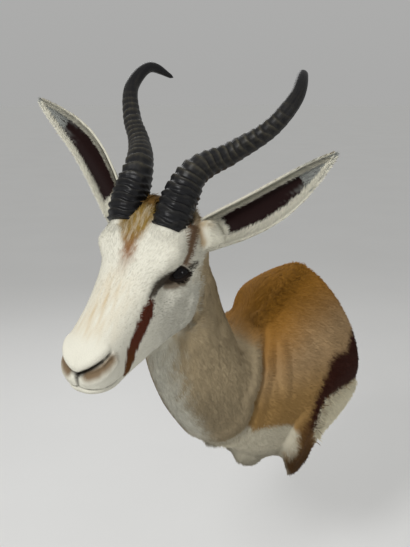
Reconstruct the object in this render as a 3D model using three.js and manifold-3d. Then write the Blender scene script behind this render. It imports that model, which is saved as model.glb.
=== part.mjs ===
// Springbok shoulder mount: a haired cape over a form, ringed horns, glass eyes and a back board.
// Millimetres, +Z up. The wall is the plane y = 0 and the animal looks along -Y.
import * as THREE from "three";
import { LoftGeometry } from "three/addons/geometries/LoftGeometry.js";
import { mergeVertices } from "three/addons/utils/BufferGeometryUtils.js";
import Module from "manifold-3d";

// Clearance between the hide and whatever is set into it, and the distance at which corners are one.
const GAP = 0.35;
const WELD = 0.001;

// Back board, let into the rear of the form and standing a little proud of the hide.
const BOARD_HALF_WIDTH = 92;
const BOARD_TOP = 112;
const BOARD_BOTTOM = -108;
const BOARD_THICKNESS = 16;
const BOARD_PROUD = 1.5;
const BOARD_SEGMENTS = 20;

// Shoulders and neck, from the wall to inside the head.
// Top line y, z; under line y, z; centre x; half width; fullness of the upper and lower half.
const TRUNK = [
  [-BOARD_PROUD, 137, -BOARD_PROUD, -126, 0, 110, 1.66, 1.8],
  [-30, 136, -34, -136, 0, 112, 1.7, 1.8],
  [-64, 131, -74, -146, 0, 110, 1.76, 1.84],
  [-99, 122, -114, -148, 0, 105, 1.82, 1.9],
  [-133, 96, -155, -128, 0, 97, 1.88, 1.96],
  [-170, 70, -195, -98, 1, 87, 1.94, 2],
  [-202, 76, -235, -62, 4, 76, 2, 2],
  [-215, 102, -268, -28, 7, 68, 2, 2],
  [-228, 127, -295, 8, 11, 60, 2, 2],
  [-240, 153, -315, 43, 14, 55, 2, 2],
  [-251, 184, -325, 76, 16, 52, 2, 2],
  [-267, 210, -326, 108, 17, 46, 2, 2],
  [-286, 228, -324, 145, 18, 36, 2, 2],
];
const TRUNK_STATIONS = 23;
const TRUNK_AROUND = 34;

// Shoulder swell and the fold between neck and shoulder: x, y, z; radius; push outward. Both sides.
const FOLDS = [
  [100, -78, 20, 60, 5],
  [66, -174, 52, 24, -5],
  [76, -182, 20, 24, -6],
  [74, -194, -14, 24, -6],
  [60, -210, -46, 24, -5],
];

// Foreleg stub on the left side: centre x, y, z; half width; half depth.
const LEG = [
  [76, -82, -4, 28, 54],
  [84, -107, -50, 25, 41],
  [83, -117, -90, 19, 29],
  [78, -119, -120, 13, 18],
  [71, -121, -139, 6, 7],
];
const LEG_STATIONS = 7;
const LEG_AROUND = 14;

// Head frame: midway between the eyes, turned to the animal's left, nose down, left side a little low.
const HEAD_AT = new THREE.Vector3(26.8, -347.9, 192);
const HEAD_TURN = 10.4;
const HEAD_NOD = 14.2;
const HEAD_TILT = 3.2;

// Head sections from the poll to the lips, in the head frame.
// y; top z; widest z; bottom z; half width; fullness above and below; how much wider the top is.
const HEAD = [
  [78, 40, 20, 0, 16, 2, 2, 0],
  [70, 56, 16, -26, 32, 2.1, 2.1, 0],
  [50, 75, 14, -60, 49, 2.2, 2.4, 0.04],
  [28, 87, 16, -75, 55, 2.4, 2.8, 0.1],
  [8, 82, 16, -80, 54, 2.6, 3, 0.12],
  [-12, 62, 12, -80, 49, 2.7, 3.1, 0.12],
  [-30, 46, 4, -79, 43, 2.6, 3.2, 0.1],
  [-50, 31, -6, -78, 38, 2.5, 3.3, 0.06],
  [-70, 18, -16, -77, 34.5, 2.4, 3.5, 0.03],
  [-90, 7, -25, -76, 32, 2.4, 3.6, 0.02],
  [-110, -3, -33, -76, 31, 2.5, 3.5, 0],
  [-125, -10, -38, -75, 30.5, 2.6, 3.2, 0],
  [-137, -17, -42, -72, 27, 2.5, 2.8, 0],
  [-145, -25, -46, -67, 20, 2.3, 2.4, 0],
  [-149, -36, -48, -60, 9, 2, 2, 0],
];
const HEAD_STATIONS = 34;
const HEAD_AROUND = 36;

// How steeply a swell dies away towards its radius.
const FALLOFF = 2;
// Swells and hollows of the face: x, y, z; radius; push outward. Each is on both sides.
const SWELLS = [
  [49, -20, 39, 18, 12],
  [50, -8, 6, 25, -12],
  [43, -30, 8, 19, -7],
  [44, -8, -20, 20, 2.5],
  [44, 28, -36, 32, 3],
  [36, -46, -8, 22, -2.5],
  [28, -120, -46, 20, 2],
];

// Glass eye: centre in the head frame and radius.
const EYE_AT = [35, 0.5, 6];
const EYE_RADIUS = 15;
const EYE_DETAIL = 2;

// Nostril and mouth lines in the head frame, left side, and the radius of the cut.
const NOSTRIL = [
  [28.5, -128, -29],
  [25.5, -137, -30.5],
  [18.5, -145, -36],
  [8, -150, -44],
];
const NOSTRIL_RADIUS = 3.2;
const NOSTRIL_STEPS = 6;
const MOUTH = [
  [0, -150, -58],
  [17.5, -145, -59.5],
  [25, -137, -60],
  [30.5, -117, -60],
  [31, -98, -63],
];
const MOUTH_RADIUS = 1.6;
const MOUTH_STEPS = 9;
const CUT_SEGMENTS = 4;

// Horn centre line in the head frame, left side, from the root inside the skull to the hooked tip.
const HORN = [
  [28, 2, 56],
  [30, 16, 71],
  [36, 53, 103],
  [61, 95, 115],
  [92, 130, 134],
  [111, 164, 162],
  [105, 199, 178],
  [90, 230, 158],
];
// Share of the length, then radius.
const HORN_RADII = [
  [0, 18],
  [0.06, 20],
  [0.14, 19.5],
  [0.24, 16],
  [0.36, 13.2],
  [0.5, 11.2],
  [0.65, 9.6],
  [0.8, 7.2],
  [0.92, 4.4],
  [1, 1.2],
];
const HORN_AROUND = 10;
const HORN_STEPS = 400;
const HORN_RINGS = 22;
const RING_START = 0.06;
const RING_END = 0.76;
const RING_HEIGHT = 0.13;
// How much lower the rings are at the tip than at the root.
const RING_FADE = 0.5;
// Shares of the length below the first ring and above the last one.
const PLAIN_ROOT = [0, 0.03];
const PLAIN_TIP = [0.8, 0.84, 0.88, 0.92, 0.95, 0.98, 1];
// Stations of the plain socket in the skull: share of the length and ring height.
const SOCKET = [[0, 1], [0.06, 1], [0.14, 1], [0.24, 1]];

// Ears in the head frame: base, middle and tip of the rib, and the way the cup faces.
const EAR_LEFT = {
  rib: [[46, 30, 34], [119, 55, 78], [191, 74, 134]],
  faces: [0.25, -1, 0.1],
  wide: 1.05,
};
const EAR_RIGHT = {
  rib: [[-52, 26, 46], [-113, 54, 113], [-186, 76, 164]],
  faces: [-0.1, -1, 0.1],
  wide: 1.2,
};
// Share of the length; half width; cup depth; wall thickness.
const EAR = [
  [0, 15, 13, 24],
  [0.12, 16.5, 15, 22],
  [0.24, 16.5, 15, 10],
  [0.4, 15.5, 13, 4.5],
  [0.55, 14, 11, 4],
  [0.7, 11.5, 8, 3.6],
  [0.84, 8, 4.5, 3],
  [0.94, 4.2, 2, 2.2],
  [1, 1.2, 0.6, 1.2],
];
const EAR_STATIONS = 13;
const EAR_ACROSS = 7;
// Wall shares: half the edge, and the swell along the middle of the back. Width share of the inner face.
const EAR_EDGE = 1 / 6;
const EAR_SWELL = 0.7;
const EAR_INSET = 0.97;

const headFrame = new THREE.Matrix4().compose(
  HEAD_AT,
  new THREE.Quaternion().setFromEuler(
    new THREE.Euler(
      THREE.MathUtils.degToRad(HEAD_NOD),
      THREE.MathUtils.degToRad(HEAD_TILT),
      THREE.MathUtils.degToRad(HEAD_TURN),
      "ZXY",
    ),
  ),
  new THREE.Vector3(1, 1, 1),
);

const wasm = await Module();
wasm.setup();

// A smooth reading of a table at a share of its rows.
function reader(rows) {
  const width = rows[0].length;
  const places = rows.map((row, i) => i / (rows.length - 1));
  const interpolant = new THREE.CubicInterpolant(places, rows.flat(), width, new Float64Array(width));
  return (share) => [...interpolant.evaluate(share)];
}

// The same, where the first column is the place.
function readerAt(rows) {
  const width = rows[0].length - 1;
  const places = rows.map((row) => row[0]);
  const values = rows.flatMap((row) => row.slice(1));
  const interpolant = new THREE.LinearInterpolant(places, values, width, new Float64Array(width));
  return (place) => [...interpolant.evaluate(place)];
}

// One closed solid from a geometry, without the triangles that have shrunk to a line.
function solid(geometry, matrix) {
  const plain = new THREE.BufferGeometry();
  plain.setAttribute("position", geometry.attributes.position.clone());
  if (geometry.index) plain.setIndex(geometry.index.clone());
  if (matrix) plain.applyMatrix4(matrix);
  const merged = mergeVertices(plain, WELD);
  const corners = merged.index.array;
  const kept = [];
  for (let i = 0; i < corners.length; i += 3) {
    const [a, b, c] = corners.slice(i, i + 3);
    if (a !== b && b !== c && c !== a) kept.push(a, b, c);
  }
  const build = (order) => {
    const vertProperties = Float32Array.from(merged.attributes.position.array);
    const triVerts = Uint32Array.from(order);
    return new wasm.Manifold(new wasm.Mesh({ numProp: 3, vertProperties, triVerts }));
  };
  const made = build(kept);
  return made.volume() > 0 ? made : build(kept.reverse());
}

// A skin through the sections, closed at both ends to the middle of the end section.
function loft(sections, matrix) {
  const middle = (section) => {
    const sum = section.reduce((total, point) => total.add(point), new THREE.Vector3());
    return section.map(() => sum.clone().divideScalar(section.length));
  };
  const all = [middle(sections[0]), ...sections, middle(sections[sections.length - 1])];
  if (matrix) for (const point of new Set(all.flat())) point.applyMatrix4(matrix);
  return solid(new LoftGeometry(all, { closed: true }));
}

function rounded(value, fullness) {
  return Math.sign(value) * Math.abs(value) ** (2 / fullness);
}

// A surface point moved outward by the swells near it, the same on both sides.
function swollen(point, out, swells) {
  const mirrored = new THREE.Vector3(Math.abs(point.x), point.y, point.z);
  let push = 0;
  for (const [x, y, z, radius, amount] of swells) {
    const away = mirrored.distanceTo(new THREE.Vector3(x, y, z));
    push += amount * Math.exp(-FALLOFF * (away / radius) ** 2);
  }
  return point.addScaledVector(out, push);
}

function trunkSolid() {
  const read = reader(TRUNK);
  const sections = [];
  for (let i = 0; i <= TRUNK_STATIONS; i += 1) {
    const [ty, tz, uy, uz, cx, half, upper, lower] = read(i / TRUNK_STATIONS);
    const section = [];
    for (let j = 0; j < TRUNK_AROUND; j += 1) {
      const angle = (2 * Math.PI * (j + 0.5)) / TRUNK_AROUND;
      const fullness = Math.sin(angle) > 0 ? upper : lower;
      const side = rounded(Math.cos(angle), fullness);
      const rise = rounded(Math.sin(angle), fullness);
      const across = new THREE.Vector3(half * side, 0, 0);
      const upright = new THREE.Vector3(0, (ty - uy) / 2, (tz - uz) / 2).multiplyScalar(rise);
      const point = new THREE.Vector3(cx, (ty + uy) / 2, (tz + uz) / 2).add(across).add(upright);
      const out = across.add(upright).normalize();
      section.push(i > 0 ? swollen(point, out, FOLDS) : point);
    }
    sections.push(section);
  }
  return loft(sections);
}

function legSolid(side) {
  const read = reader(LEG);
  const sections = [];
  for (let i = 0; i <= LEG_STATIONS; i += 1) {
    const [x, y, z, half, deep] = read(i / LEG_STATIONS);
    const section = [];
    for (let j = 0; j < LEG_AROUND; j += 1) {
      const angle = (-side * 2 * Math.PI * j) / LEG_AROUND;
      section.push(new THREE.Vector3(side * (x + half * Math.cos(angle)), y + deep * Math.sin(angle), z));
    }
    sections.push(section);
  }
  return loft(sections);
}

function headSolid() {
  const read = reader(HEAD);
  const sections = [];
  for (let i = 0; i <= HEAD_STATIONS; i += 1) {
    const [y, top, wide, bottom, half, upper, lower, lean] = read(i / HEAD_STATIONS);
    const section = [];
    for (let j = 0; j < HEAD_AROUND; j += 1) {
      const angle = (2 * Math.PI * j) / HEAD_AROUND;
      const fullness = Math.sin(angle) > 0 ? upper : lower;
      const side = rounded(Math.cos(angle), fullness);
      const rise = rounded(Math.sin(angle), fullness);
      const height = rise > 0 ? top - wide : wide - bottom;
      const point = new THREE.Vector3(half * side * (1 + lean * rise), y, wide + height * rise);
      const out = new THREE.Vector3(point.x, 0, point.z - wide).normalize();
      section.push(swollen(point, out, SWELLS));
    }
    sections.push(section);
  }
  return loft(sections, headFrame);
}

function earSolid({ rib, faces, wide }) {
  const read = readerAt(EAR);
  const curve = new THREE.CatmullRomCurve3(rib.map((at) => new THREE.Vector3(...at)));
  const axis = curve.getPoint(1).sub(curve.getPoint(0)).normalize();
  const face = new THREE.Vector3(...faces);
  face.addScaledVector(axis, -face.dot(axis)).normalize();
  const across = new THREE.Vector3().crossVectors(axis, face);
  const sections = [];
  for (let i = 0; i <= EAR_STATIONS; i += 1) {
    const share = i / EAR_STATIONS;
    const [half, depth, wall] = read(share);
    const centre = curve.getPointAt(share);
    const section = [];
    const place = (s, lift) => {
      const point = centre.clone().addScaledVector(across, half * wide * s);
      section.push(point.addScaledVector(face, lift - depth * (1 - s * s)));
    };
    for (let j = 0; j <= EAR_ACROSS; j += 1) {
      place((2 * j) / EAR_ACROSS - 1, -wall * EAR_EDGE);
    }
    for (let j = EAR_ACROSS; j >= 0; j -= 1) {
      const s = (2 * j) / EAR_ACROSS - 1;
      place(s * EAR_INSET, wall * (EAR_EDGE + EAR_SWELL * (1 - s * s)));
    }
    sections.push(section);
  }
  return loft(sections, headFrame);
}

// The horn as a swept, tapering body: ringed for the horn itself, plain and wider for its socket.
function hornSolid(side, stations, extra) {
  const points = HORN.map(([x, y, z]) => new THREE.Vector3(side * x, y, z));
  const curve = new THREE.CatmullRomCurve3(points, false, "centripetal");
  const read = readerAt(HORN_RADII);
  const frames = curve.computeFrenetFrames(HORN_STEPS, false);
  const sections = stations.map(([share, swell]) => {
    const at = Math.round(share * HORN_STEPS);
    const size = read(share)[0] * (1 + RING_HEIGHT * (1 - RING_FADE * share) * swell) + extra;
    const centre = curve.getPointAt(share);
    const section = [];
    for (let j = 0; j < HORN_AROUND; j += 1) {
      const angle = (2 * Math.PI * j) / HORN_AROUND;
      const point = centre.clone().addScaledVector(frames.normals[at], size * Math.cos(angle));
      section.push(point.addScaledVector(frames.binormals[at], size * Math.sin(angle)));
    }
    return section;
  });
  return loft(sections, headFrame);
}

// Each station is a share of the length and how far it is up a ring.
function hornStations() {
  const stations = PLAIN_ROOT.map((share) => [share, 0]);
  for (let i = 0; i <= 2 * HORN_RINGS; i += 1) {
    stations.push([RING_START + ((RING_END - RING_START) * i) / (2 * HORN_RINGS), i % 2]);
  }
  return [...stations, ...PLAIN_TIP.map((share) => [share, 0])];
}

function eyeSolid(side, extra) {
  const ball = new THREE.IcosahedronGeometry(EYE_RADIUS + extra, EYE_DETAIL);
  ball.translate(side * EYE_AT[0], EYE_AT[1], EYE_AT[2]);
  return solid(ball, headFrame);
}

// A round cut along a line on one side of the face.
function cutAlong(line, radius, side, steps) {
  const curve = new THREE.CatmullRomCurve3(line.map(([x, y, z]) => new THREE.Vector3(side * x, y, z)));
  const round = new THREE.Shape().absarc(0, 0, radius, 0, 2 * Math.PI);
  const cut = new THREE.ExtrudeGeometry(round, { extrudePath: curve, steps, curveSegments: CUT_SEGMENTS });
  return solid(cut, headFrame);
}

function boardSolid(extra) {
  const outline = new THREE.Shape();
  const middle = (BOARD_TOP + BOARD_BOTTOM) / 2;
  const tall = (BOARD_TOP - BOARD_BOTTOM) / 2;
  outline.absellipse(0, middle, BOARD_HALF_WIDTH + extra, tall + extra, 0, 2 * Math.PI);
  const board = new THREE.ExtrudeGeometry(outline, {
    depth: BOARD_THICKNESS + extra,
    bevelEnabled: false,
    curveSegments: BOARD_SEGMENTS,
  });
  board.rotateX(Math.PI / 2);
  return solid(board);
}

function meshOf(name, manifold, colour, roughness, metalness) {
  const { vertProperties, triVerts } = manifold.getMesh();
  const geometry = new THREE.BufferGeometry();
  geometry.setAttribute("position", new THREE.BufferAttribute(Float32Array.from(vertProperties), 3));
  geometry.setIndex(new THREE.BufferAttribute(Uint32Array.from(triVerts), 1));
  geometry.computeVertexNormals();
  const material = new THREE.MeshStandardMaterial({ color: colour, roughness, metalness });
  const mesh = new THREE.Mesh(geometry, material);
  mesh.name = name;
  return mesh;
}

const stations = hornStations();
const horns = { left: hornSolid(1, stations, 0), right: hornSolid(-1, stations, 0) };
const eyes = { left: eyeSolid(1, 0), right: eyeSolid(-1, 0) };
const board = boardSolid(0);

let cape = trunkSolid().add(headSolid());
cape = cape.add(earSolid(EAR_LEFT)).add(earSolid(EAR_RIGHT));
for (const side of [1, -1]) {
  cape = cape.add(legSolid(side));
  cape = cape.subtract(hornSolid(side, SOCKET, GAP));
  cape = cape.subtract(eyeSolid(side, GAP));
  cape = cape.subtract(cutAlong(NOSTRIL, NOSTRIL_RADIUS, side, NOSTRIL_STEPS));
  cape = cape.subtract(cutAlong(MOUTH, MOUTH_RADIUS, side, MOUTH_STEPS));
}
cape = cape.subtract(boardSolid(GAP));

const mount = new THREE.Group();
mount.name = "springbok_shoulder_mount";
mount.add(meshOf("cape", cape, 0xc9b08c, 0.9, 0));
mount.add(meshOf("horn_left", horns.left, 0x16130f, 0.45, 0));
mount.add(meshOf("horn_right", horns.right, 0x16130f, 0.45, 0));
mount.add(meshOf("eye_left", eyes.left, 0x140c08, 0.05, 0));
mount.add(meshOf("eye_right", eyes.right, 0x140c08, 0.05, 0));
mount.add(meshOf("back_board", board, 0xb08a5c, 0.8, 0));

export default mount;
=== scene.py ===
import bmesh
import bpy
import numpy as np
from mathutils import Matrix, Vector


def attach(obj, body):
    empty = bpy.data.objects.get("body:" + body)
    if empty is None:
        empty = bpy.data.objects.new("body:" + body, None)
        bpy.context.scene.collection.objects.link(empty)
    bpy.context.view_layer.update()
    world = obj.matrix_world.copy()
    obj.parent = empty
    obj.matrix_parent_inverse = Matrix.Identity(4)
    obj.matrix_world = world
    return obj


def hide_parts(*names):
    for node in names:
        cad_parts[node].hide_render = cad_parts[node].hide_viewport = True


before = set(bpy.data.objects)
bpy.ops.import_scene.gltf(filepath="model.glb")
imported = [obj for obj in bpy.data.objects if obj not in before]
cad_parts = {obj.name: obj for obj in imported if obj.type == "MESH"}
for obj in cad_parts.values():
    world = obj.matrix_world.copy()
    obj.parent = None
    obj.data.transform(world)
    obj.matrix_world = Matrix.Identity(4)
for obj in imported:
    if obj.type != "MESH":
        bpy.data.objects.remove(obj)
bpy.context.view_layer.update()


# Back board: an oval of birch plywood let into the rear of the form, its rear face on the wall.
# It is sawn, sanded and screwed to the form from inside, so only the face and a thin edge show.
MM = 0.001
PLANK_PALE = (0.46, 0.31, 0.16, 1)
PLANK_DARK = (0.24, 0.14, 0.06, 1)


def new_material(name, roughness):
    material = bpy.data.materials.new(name)
    material.use_nodes = True
    tree = material.node_tree
    shader = tree.nodes["Principled BSDF"]
    shader.inputs["Roughness"].default_value = roughness
    return material, tree, shader


def noise_on(tree, place, scale, detail, stretch=(1, 1, 1)):
    spread = tree.nodes.new("ShaderNodeMapping")
    spread.inputs["Scale"].default_value = stretch
    tree.links.new(place, spread.inputs["Vector"])
    noise = tree.nodes.new("ShaderNodeTexNoise")
    noise.inputs["Scale"].default_value = scale
    noise.inputs["Detail"].default_value = detail
    tree.links.new(spread.outputs["Vector"], noise.inputs["Vector"])
    return noise.outputs["Fac"]


def ramp_on(tree, factor, stops):
    ramp = tree.nodes.new("ShaderNodeValToRGB")
    elements = ramp.color_ramp.elements
    while len(elements) < len(stops):
        elements.new(0.5)
    for element, (position, colour) in zip(elements, stops):
        element.position = position
        element.color = colour
    tree.links.new(factor, ramp.inputs["Fac"])
    return ramp.outputs["Color"]


def bump_on(tree, shader, height, strength, distance):
    bump = tree.nodes.new("ShaderNodeBump")
    bump.inputs["Strength"].default_value = strength
    bump.inputs["Distance"].default_value = distance
    tree.links.new(height, bump.inputs["Height"])
    tree.links.new(bump.outputs["Normal"], shader.inputs["Normal"])


def object_place(tree):
    return tree.nodes.new("ShaderNodeTexCoord").outputs["Object"]


board_wood, tree, shader = new_material("board_wood", 0.62)
grain = noise_on(tree, object_place(tree), 55, 6, (1, 14, 0.07))
tree.links.new(ramp_on(tree, grain, [(0.32, PLANK_DARK), (0.68, PLANK_PALE)]), shader.inputs["Base Color"])
bump_on(tree, shader, grain, 0.25, 0.4 * MM)
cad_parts["back_board"].material_slots[0].material = board_wood


# Hide: the tanned skin of the head, neck and shoulders, drawn over a carved form and glued down.
# It is sewn up the back, tucked round the eyes, nostrils and lips, and folds where neck meets chest.
HEAD_AT = Vector((26.8, -347.9, 192)) * MM
HEAD_TURN = np.radians(10.4)
HEAD_NOD = np.radians(14.2)
HEAD_TILT = np.radians(3.2)
HEAD_FRAME = (
    Matrix.Translation(HEAD_AT)
    @ Matrix.Rotation(HEAD_TURN, 4, "Z")
    @ Matrix.Rotation(HEAD_NOD, 4, "X")
    @ Matrix.Rotation(HEAD_TILT, 4, "Y")
)
HEAD_AXES = np.array(HEAD_FRAME.to_3x3())
VOXEL = 3.2 * MM
EYE_AT = np.array([35, 0.5, 6]) * MM
EYE_RADIUS = 15 * MM
LID_RADIUS = 16 * MM
HORN_PLUG_AT = np.array([29, 7, 61]) * MM
HORN_PLUG_RADIUS = 15.5 * MM
EAR_ROOT_SHARE = 0.2
EAR_REACH = 45 * MM
EAR_RIBS = {
    "left": np.array([[46, 30, 34], [119, 55, 78], [191, 74, 134]]) * MM,
    "right": np.array([[-52, 26, 46], [-113, 54, 113], [-186, 76, 164]]) * MM,
}


def to_head(places):
    return (places - np.array(HEAD_AT)) @ HEAD_AXES


def from_head(places):
    return np.asarray(places) @ HEAD_AXES.T + np.array(HEAD_AT)


def both_sides(places):
    return places * np.where(places[:, :1] < 0, [[-1, 1, 1]], [[1, 1, 1]])


def smooth(value, low, high):
    share = np.clip((value - low) / (high - low), 0, 1)
    return share * share * (3 - 2 * share)


def along(places, line):
    """The distance of each place from a line of points, and the share of the line that is nearest."""
    line = np.asarray(line)
    steps = np.linalg.norm(np.diff(line, axis=0), axis=1)
    starts = np.concatenate([[0], np.cumsum(steps)])
    distance = np.full(len(places), np.inf)
    share = np.zeros(len(places))
    for start, end, step, done in zip(line, line[1:], steps, starts):
        way = (end - start) / step
        reach = np.clip((places - start) @ way, 0, step)
        away = np.linalg.norm(places - start - reach[:, None] * way, axis=1)
        nearer = away < distance
        distance[nearer] = away[nearer]
        share[nearer] = (done + reach[nearer]) / starts[-1]
    return distance, share


def vertex_values(mesh, name):
    values = np.empty(len(mesh.vertices) * 3)
    mesh.vertices.foreach_get(name, values)
    return values.reshape(-1, 3)


def add_ball(bm, place, radius):
    shift = Matrix.Translation(Vector(from_head(place)))
    bmesh.ops.create_icosphere(bm, subdivisions=4, radius=radius, matrix=shift)


bm = bmesh.new()
bm.from_mesh(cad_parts["cape"].data)
bmesh.ops.remove_doubles(bm, verts=bm.verts, dist=0.01 * MM)
for rib in EAR_RIBS.values():
    places = to_head(np.array([vert.co for vert in bm.verts]))
    distance, share = along(places, rib)
    beyond = (share > EAR_ROOT_SHARE) & (distance < EAR_REACH)
    bmesh.ops.delete(bm, geom=[vert for vert, cut in zip(bm.verts, beyond) if cut], context="VERTS")
    bmesh.ops.holes_fill(bm, edges=[edge for edge in bm.edges if edge.is_boundary])
for side in (1, -1):
    add_ball(bm, EYE_AT * [side, 1, 1], LID_RADIUS)
    add_ball(bm, HORN_PLUG_AT * [side, 1, 1], HORN_PLUG_RADIUS)
rough = bpy.data.objects.new("rough_hide", bpy.data.meshes.new("rough_hide"))
bm.to_mesh(rough.data)
bm.free()
bpy.context.scene.collection.objects.link(rough)
remesh = rough.modifiers.new("skin", "REMESH")
remesh.mode = "VOXEL"
remesh.voxel_size = VOXEL
relax = rough.modifiers.new("relax", "SMOOTH")
relax.factor = 0.5
relax.iterations = 12
hide_mesh = bpy.data.meshes.new_from_object(rough.evaluated_get(bpy.context.evaluated_depsgraph_get()))
bpy.data.objects.remove(rough)

# The face is cut finer than the body, and the eyes, nose and lips finer again.
FACE_BACK = 62 * MM
FACE_LOW = -88 * MM
FINE_SPOTS = [(EYE_AT, 24 * MM), (np.array([14, -142, -42]) * MM, 27 * MM)]

# The hollow between neck and back is rounded out before the folds are pressed.
VALLEY = np.array([[13, -171, 76], [39, -196, 67], [57, -206, 60], [68, -208, 50], [78, -209, 34]]) * MM
VALLEY_REACH = 34 * MM
VALLEY_ROUNDS = 120

bm = bmesh.new()
bm.from_mesh(hide_mesh)
near_valley = along(both_sides(np.array([vert.co for vert in bm.verts])), VALLEY)[0] < VALLEY_REACH
valley = [vert for vert, near in zip(bm.verts, near_valley) if near]
for _ in range(VALLEY_ROUNDS):
    bmesh.ops.smooth_vert(bm, verts=valley, factor=0.5, use_axis_x=True, use_axis_y=True, use_axis_z=True)


def refine(bm, chosen):
    verts = {vert for vert, take in zip(bm.verts, chosen) if take}
    edges = [edge for edge in bm.edges if edge.verts[0] in verts and edge.verts[1] in verts]
    cut = bmesh.ops.subdivide_edges(bm, edges=edges, cuts=1, use_grid_fill=True)
    made = [item for item in cut["geom"] if isinstance(item, bmesh.types.BMVert)]
    for _ in range(3):
        bmesh.ops.smooth_vert(bm, verts=made, factor=0.5, use_axis_x=True, use_axis_y=True, use_axis_z=True)


head_places = to_head(np.array([vert.co for vert in bm.verts]))
refine(bm, (head_places[:, 1] < FACE_BACK) & (head_places[:, 2] > FACE_LOW))
head_places = both_sides(to_head(np.array([vert.co for vert in bm.verts])))
spots = [np.linalg.norm(head_places - at, axis=1) < reach for at, reach in FINE_SPOTS]
refine(bm, np.any(spots, axis=0))
bmesh.ops.recalc_face_normals(bm, faces=bm.faces)
bm.to_mesh(hide_mesh)
bm.free()

# Lines of the face in the head's own frame, on the left side, and how far each is pressed or raised.
NOSTRIL = np.array([
    [30, -124, -24], [27.5, -132, -28], [22, -139.5, -31.5], [14, -146, -36], [0, -150, -43],
]) * MM
NOSTRIL_FLOOR = np.array([[30.5, -124, -31], [27, -133, -35], [21, -141, -39], [13, -147, -42]]) * MM
NOSTRIL_ROOF = np.array([[26, -126, -18], [21, -136, -22], [14, -143, -27], [4, -147, -33]]) * MM
NOSTRIL_SILL = np.array([[33, -122, -38], [28, -133, -43], [20, -142, -48], [10, -148, -50]]) * MM
PHILTRUM = np.array([[0, -151, -41], [0, -151, -58]]) * MM
MOUTH = np.array([
    [0, -150, -58], [6, -148.5, -60], [17.5, -145, -61], [25, -137, -62], [30.5, -117, -60.5],
    [31.5, -96, -62],
]) * MM
LOWER_LIP = np.array([[0, -148, -66], [16, -143, -67], [24, -134, -68], [28, -117, -68]]) * MM
TEAR = np.array([[33, -15, 11], [36, -30, 16], [35.5, -44, 13], [35, -54, 6]]) * MM
JAW = np.array([[50.3, 13, -32], [47.8, 11, -41], [40, 10.5, -60], [32.5, -1, -68], [29.7, -34, -65]]) * MM
CROWN = np.array([[0, 16, 82], [0, 48, 84]]) * MM
FACE_LINES = [
    (NOSTRIL, 3 * MM, -5.5 * MM),
    (NOSTRIL_FLOOR, 4.5 * MM, -2.5 * MM),
    (NOSTRIL_ROOF, 7 * MM, 2.2 * MM),
    (NOSTRIL_SILL, 6 * MM, 1.6 * MM),
    (PHILTRUM, 2.6 * MM, -2.6 * MM),
    (MOUTH, 2.4 * MM, -3.2 * MM),
    (LOWER_LIP, 5 * MM, 0.8 * MM),
    (TEAR, 4 * MM, -1.8 * MM),
    (JAW + np.array([0, 6, -5]) * MM, 6 * MM, -4.5 * MM),
    (JAW + np.array([0, -6, 6]) * MM, 9 * MM, 1.8 * MM),
    (CROWN, 15 * MM, -9 * MM),
]
# Folds of the neck and shoulder, in the part's frame.
CREASE = np.array([
    [30, -135, 88], [46, -149, 69], [65, -178, 37], [80, -211, 8], [71, -218, -32],
    [50, -225, -52], [33, -229, -61], [0, -232, -64],
]) * MM
NECK_EDGE = CREASE + np.array([-2, -13, 2]) * MM
FOLD_UPPER = np.array([[70, -142, 54], [78, -150, 36]]) * MM
FOLD_LOWER = np.array([[81, -154, 26], [87.5, -162, 4]]) * MM
FOLD_GROOVE = np.array([[59, -147, 59], [68, -157, 43], [76, -165, 26]]) * MM
BRISKET_NOTCH = np.array([[42, -146, -117], [41, -130, -127], [50, -118, -126]]) * MM
BRISKET_LOBE = np.array([[32, -181, -101], [41, -169, -105]]) * MM
UNDERSIDE = np.array([[0, -135, -134], [22, -120, -139], [34, -108, -133]]) * MM
BRISKET_RIGHT = np.array([[-40, -190, -95], [0, -190, -93], [-4, -170, -112], [-44, -166, -110]]) * MM
LEG_RIGHT = np.array([[-76, -122, -136], [-70, -128, -132]]) * MM
BACK_RIGHT = np.array([[-44, -130, 84], [-62, -103, 84], [-76, -84, 77], [-88, -66, 69]]) * MM
NECK_REAR = np.array([[60, -275, 175], [62, -274, 156], [66, -270, 140], [70, -262, 120]]) * MM
BRISKET_FRONT = np.array([[0, -210, -82], [14, -203, -88]]) * MM
LEG_REAR = np.array([[104, -118, -76], [102, -119, -87], [98.5, -120, -100], [94, -123, -111]]) * MM
RIDGE = np.array([[11, -22, 134], [22, -62, 126], [31, -104, 111], [30, -126, 95], [27, -140, 86]]) * MM
BODY_LINES = [
    (CREASE, 7 * MM, -9 * MM),
    (NECK_EDGE, 13 * MM, 3 * MM),
    (FOLD_UPPER, 10 * MM, 2.4 * MM),
    (FOLD_LOWER, 10 * MM, 2.4 * MM),
    (FOLD_GROOVE, 10 * MM, -1.8 * MM),
    (BRISKET_NOTCH, 24 * MM, -15 * MM),
    (BRISKET_LOBE, 17 * MM, 9 * MM),
    (UNDERSIDE, 34 * MM, -18 * MM),
    (BRISKET_FRONT, 30 * MM, -12 * MM),
    (LEG_REAR, 13 * MM, -6 * MM),
]
# Lines on one side only: the ruffled ridge, the brisket and back drawn in on the right, the turned neck.
ONE_SIDE_LINES = [
    (RIDGE, 6 * MM, 2 * MM),
    (BRISKET_RIGHT, 24 * MM, -16 * MM),
    (LEG_RIGHT, 18 * MM, -8 * MM),
    (BACK_RIGHT, 34 * MM, -17 * MM),
    (NECK_REAR, 24 * MM, -6 * MM),
]
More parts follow.
